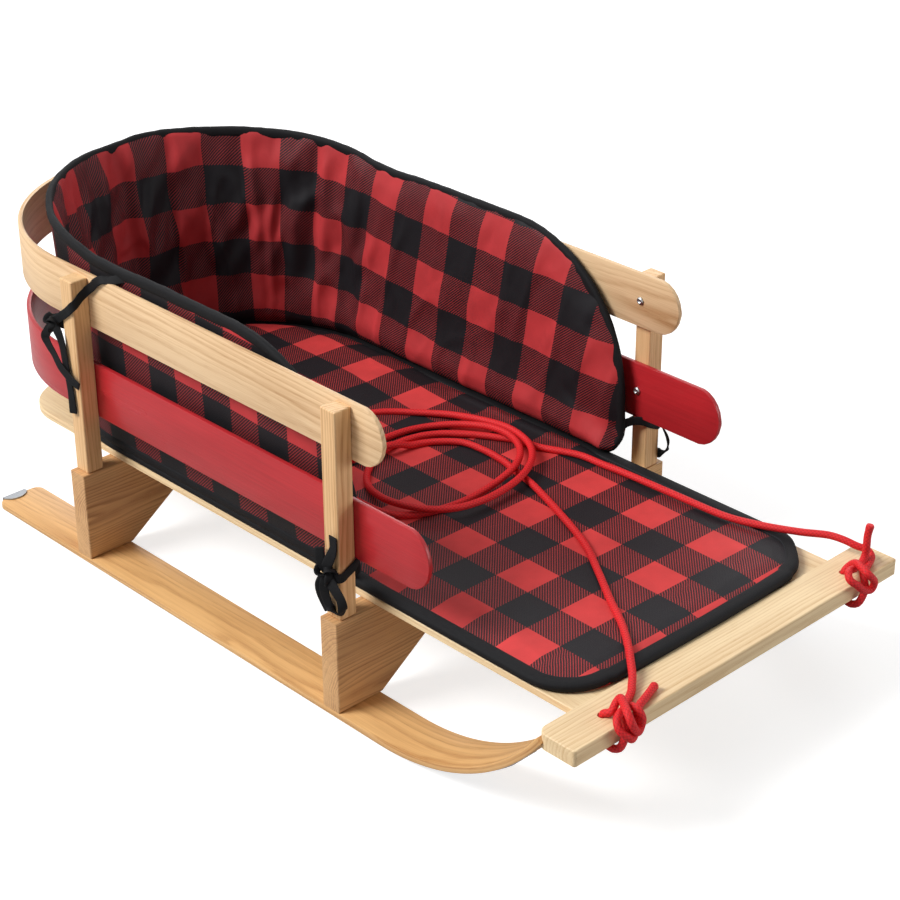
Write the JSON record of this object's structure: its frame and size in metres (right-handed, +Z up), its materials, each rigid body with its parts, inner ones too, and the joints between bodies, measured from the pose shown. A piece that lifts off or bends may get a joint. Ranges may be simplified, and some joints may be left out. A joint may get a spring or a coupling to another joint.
{
  "type": "baby pull sled",
  "caption": "Wooden baby pull sled with bent runners, slatted deck, two rails bent round the back, a checked padded seat liner tied to the posts and a red pull rope.",
  "frame": {"origin": "on the ground under the middle of the sled's length and width, without the rope", "axes": "+Z up; the front crossbar is at -Y and the bent back of the rails at +Y; the pieces named left are at -X and those named right at +X"},
  "size_m": [0.432, 0.9254, 0.343],
  "materials": {
    "ash_wood": "clear satin varnish",
    "pale_wood": "thin clear varnish",
    "red_paint": "gloss red lacquer on bent wood",
    "shoe_steel": "plain steel strip",
    "screw_steel": "zinc plated",
    "check_cloth": "red and black buffalo check with black binding",
    "black_tape": "woven black tape",
    "red_rope": "braided red cord"
  },
  "bodies": {
    "root": {"runner_left": "ash_wood", "runner_right": "ash_wood", "bench_front": "ash_wood", "bench_rear": "ash_wood", "runner_shoe_left": "shoe_steel", "runner_shoe_right": "shoe_steel", "deck_board_1": "pale_wood", "deck_board_2": "pale_wood", "deck_board_3": "pale_wood", "deck_board_4": "pale_wood", "deck_board_5": "pale_wood", "front_crossbar": "pale_wood", "post_front_left": "ash_wood", "post_dowel_front_left": "pale_wood", "foot_screw_front_left": "screw_steel", "post_front_right": "ash_wood", "post_dowel_front_right": "pale_wood", "foot_screw_front_right": "screw_steel", "post_rear_left": "ash_wood", "post_dowel_rear_left": "pale_wood", "foot_screw_rear_left": "screw_steel", "post_rear_right": "ash_wood", "post_dowel_rear_right": "pale_wood", "foot_screw_rear_right": "screw_steel", "deck_screw_front_1": "screw_steel", "deck_screw_front_2": "screw_steel", "deck_screw_front_3": "screw_steel", "deck_screw_front_4": "screw_steel", "deck_screw_front_5": "screw_steel", "deck_screw_rear_1": "screw_steel", "deck_screw_rear_2": "screw_steel", "deck_screw_rear_3": "screw_steel", "deck_screw_rear_4": "screw_steel", "deck_screw_rear_5": "screw_steel", "upper_rail": "ash_wood", "lower_rail": "red_paint", "rail_screw_upper_front_left": "screw_steel", "rail_screw_upper_front_right": "screw_steel", "rail_screw_upper_rear_left": "screw_steel", "rail_screw_upper_rear_right": "screw_steel", "rail_screw_lower_front_left": "screw_steel", "rail_screw_lower_front_right": "screw_steel", "rail_screw_lower_rear_left": "screw_steel", "rail_screw_lower_rear_right": "screw_steel", "seat_pad": "check_cloth", "liner_wall": "check_cloth", "tie_front_left": "black_tape", "tie_front_right": "black_tape", "tie_rear_left": "black_tape", "tie_rear_right": "black_tape", "rope_knot_left": "red_rope", "rope_knot_right": "red_rope", "rope_right_stretch": "red_rope", "rope_left_stretch": "red_rope", "rope_coil": "red_rope"}
  },
  "joints": []
}
